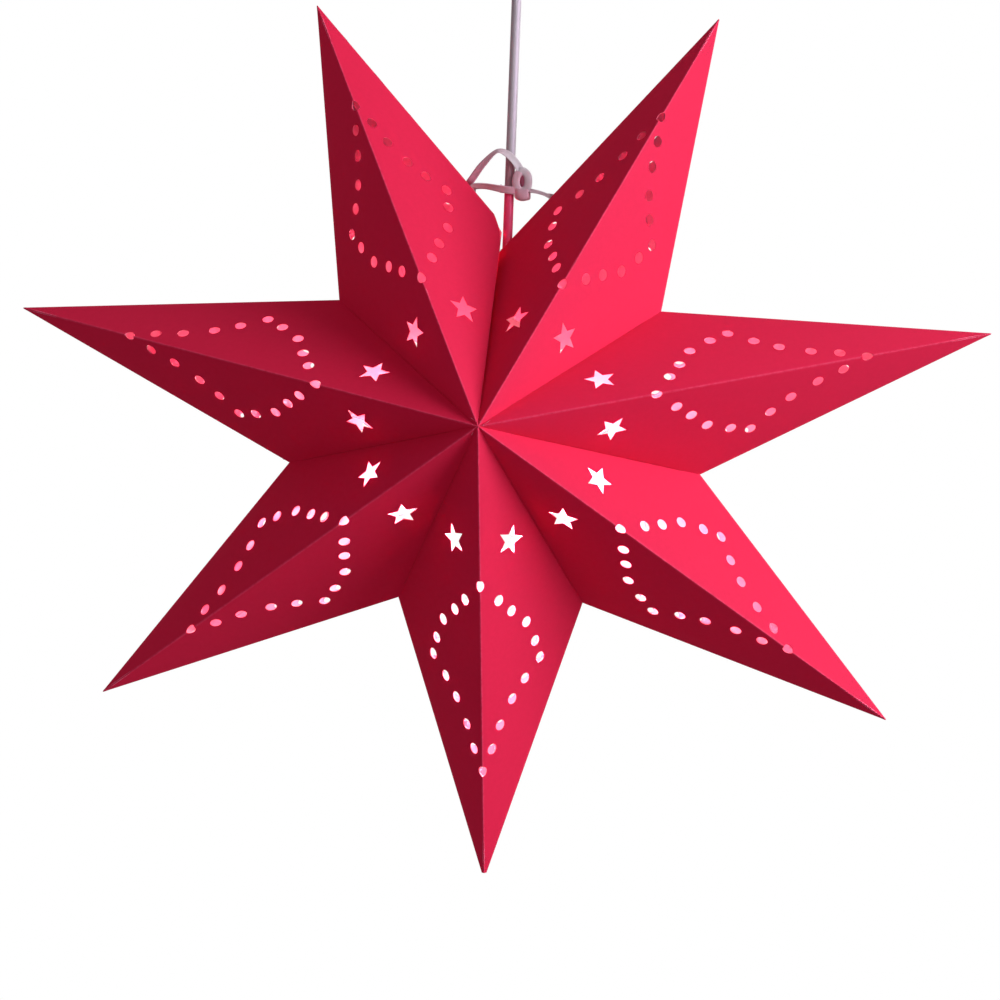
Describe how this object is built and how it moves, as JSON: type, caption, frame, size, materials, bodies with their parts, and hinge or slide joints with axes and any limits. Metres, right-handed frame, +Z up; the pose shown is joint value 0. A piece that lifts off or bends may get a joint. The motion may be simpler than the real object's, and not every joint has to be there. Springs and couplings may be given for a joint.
{
  "type": "paper star lantern",
  "caption": "Hanging star lantern of folded and punched red card, with its lamp cord, lamp holder, bulb, ribbon tie and ceiling fitting.",
  "frame": {"origin": "centre of the ceiling face of the ceiling fitting, midway between its two fixing holes", "axes": "+Z up towards the ceiling, -Y out of the star's front apex, +X to the right as the star is seen from the front"},
  "size_m": [0.6438, 0.215, 0.63],
  "materials": {
    "red_card": "matte dyed card with a faint grain, paler at the punched edges",
    "pale_ribbon": "flat satin tape",
    "cord_sheath": "smooth pale sheath",
    "holder_plastic": "moulded white plastic",
    "insert_plastic": "moulded heat-proof plastic",
    "bulb_glass": "frosted glass with a metal screw cap",
    "fitting_plastic": "moulded white plastic"
  },
  "bodies": {
    "root": {"point_1": "red_card", "point_2": "red_card", "point_3": "red_card", "point_4": "red_card", "point_5": "red_card", "point_6": "red_card", "point_7": "red_card", "ribbon_tie": "pale_ribbon", "cord": "cord_sheath", "holder_cap": "holder_plastic", "holder_body": "holder_plastic", "holder_insert": "insert_plastic", "bulb": "bulb_glass", "rose_base": "fitting_plastic", "rose_cover": "fitting_plastic"}
  },
  "joints": []
}
